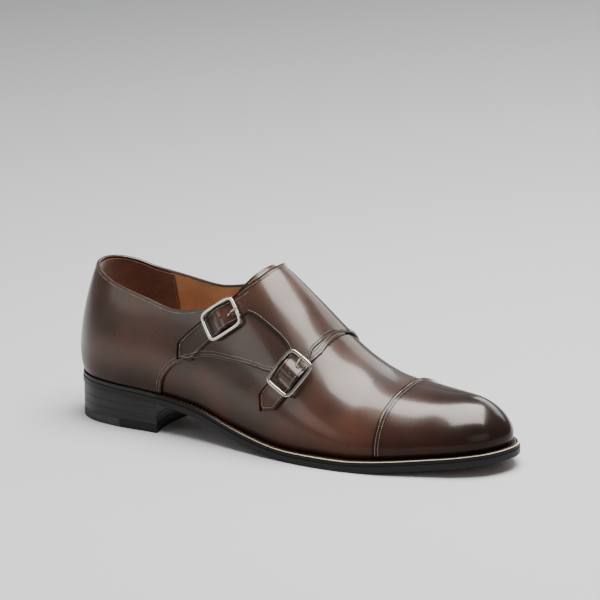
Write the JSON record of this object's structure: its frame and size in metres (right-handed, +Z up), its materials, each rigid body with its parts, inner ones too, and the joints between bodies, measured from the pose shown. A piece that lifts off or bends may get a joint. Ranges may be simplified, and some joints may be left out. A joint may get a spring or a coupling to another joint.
{
  "type": "monk strap shoe",
  "caption": "Double monk strap shoe in burnished brown calf, with a toe cap, two buckled straps, welted leather sole and stacked heel.",
  "frame": {"origin": "middle of the shoe's base, on the floor under the sole", "axes": "+X runs from the heel to the toe, +Y towards the inner side of the right foot, +Z up"},
  "size_m": [0.306, 0.1004, 0.1086],
  "materials": {
    "calf": "burnished dark brown calf leather, polished",
    "toe_calf": "calf leather burnished almost black, mirror polished",
    "tongue_leather": "brown calf leather",
    "sock_leather": "tan leather insole",
    "welt_leather": "edge-inked welt leather",
    "sole_leather": "stained and waxed oak-bark leather outsole",
    "heel_leather": "stacked leather, edge-inked and waxed",
    "heel_rubber": "black rubber top piece, matt",
    "nickel": "polished nickel-plated buckle"
  },
  "bodies": {
    "root": {"upper": "calf", "toe_cap": "toe_calf", "tongue": "tongue_leather", "instep_flap": "calf", "buckle_upper": "nickel", "prong_upper": "nickel", "buckle_lower": "nickel", "prong_lower": "nickel", "insole": "sock_leather", "welt": "welt_leather", "seat_rand": "welt_leather", "outsole": "sole_leather", "heel_lift_1": "heel_leather", "heel_lift_2": "heel_leather", "heel_lift_3": "heel_leather", "top_piece_leather": "sole_leather", "top_piece_rubber": "heel_rubber"}
  },
  "joints": []
}
